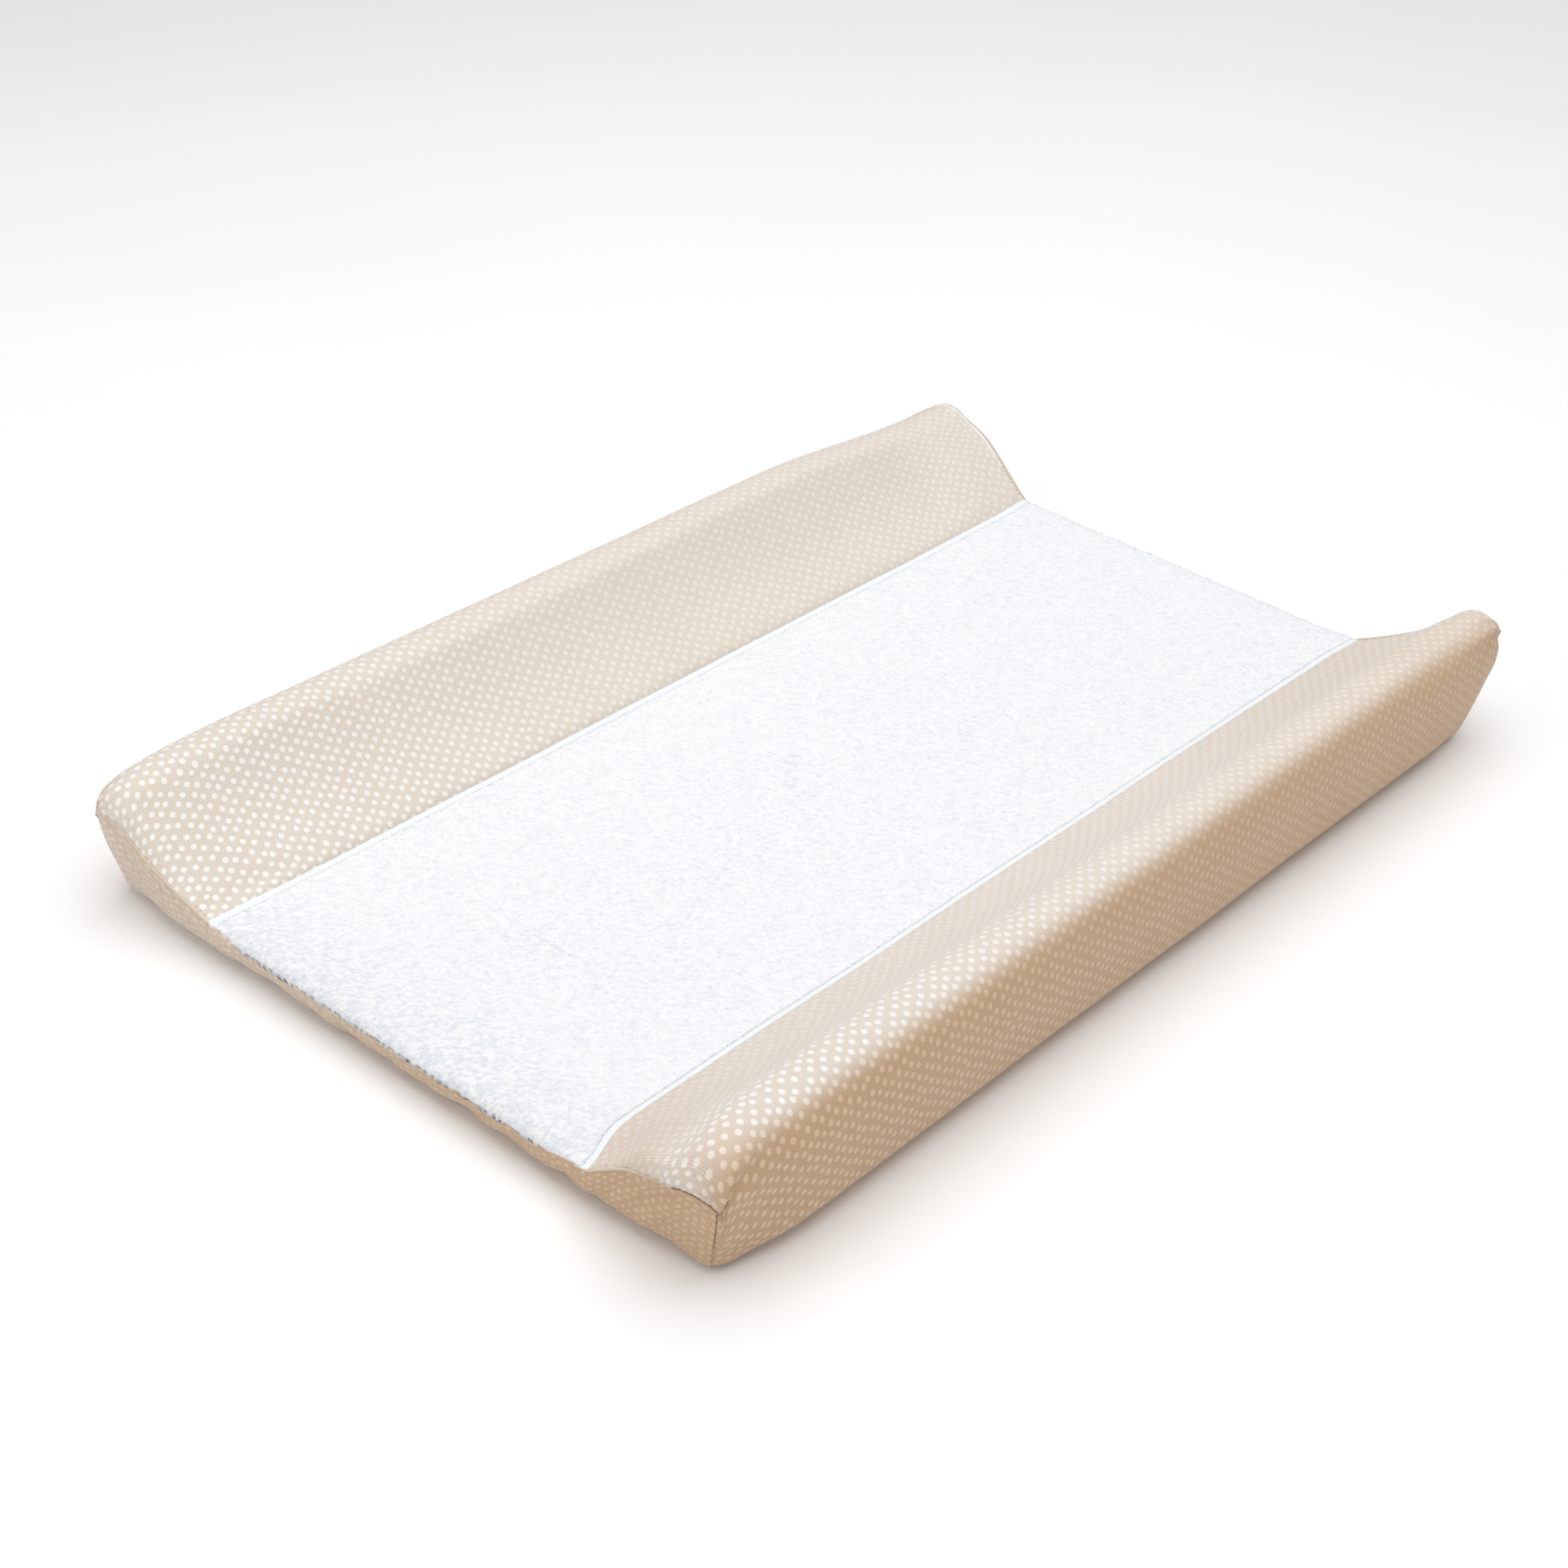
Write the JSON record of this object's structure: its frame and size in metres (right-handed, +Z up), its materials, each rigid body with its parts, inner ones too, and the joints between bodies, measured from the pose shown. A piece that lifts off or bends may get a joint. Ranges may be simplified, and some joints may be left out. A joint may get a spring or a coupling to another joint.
{
  "type": "changing pad",
  "caption": "Contoured changing pad with two raised foam sides, a terry lying surface and a fitted dotted cloth cover held by an elastic hem.",
  "frame": {"origin": "on the surface the pad lies on, under the middle of the pad", "axes": "+Y along the pad from its foot end to its head end, +X across it towards the right raised side, +Z up"},
  "size_m": [0.45, 0.71, 0.082],
  "materials": {
    "foam": "matte",
    "liner_vinyl": "satin",
    "eyelet_metal": "satin",
    "dotted_cloth": "satin",
    "seam_thread": "satin",
    "terry": "matte",
    "binding_tape": "satin",
    "white_thread": "satin",
    "elastic": "matte",
    "label_tape": "satin"
  },
  "bodies": {
    "root": {"binding_stitching": "white_thread", "care_label": "label_tape", "corner_seams": "seam_thread", "cover_end_foot": "dotted_cloth", "cover_end_head": "dotted_cloth", "cover_side_left": "dotted_cloth", "cover_side_right": "dotted_cloth", "cover_terry_panel": "terry", "end_seam_foot": "seam_thread", "end_seam_head": "seam_thread", "foam_base": "foam", "foam_wedge_left": "foam", "foam_wedge_right": "foam", "hem_casing": "dotted_cloth", "hem_elastic": "elastic", "hem_stitching": "seam_thread", "liner_bottom": "liner_vinyl", "liner_end_foot": "liner_vinyl", "liner_end_head": "liner_vinyl", "liner_top": "liner_vinyl", "terry_binding_left": "binding_tape", "terry_binding_right": "binding_tape", "vent_eyelets": "eyelet_metal"}
  },
  "joints": []
}
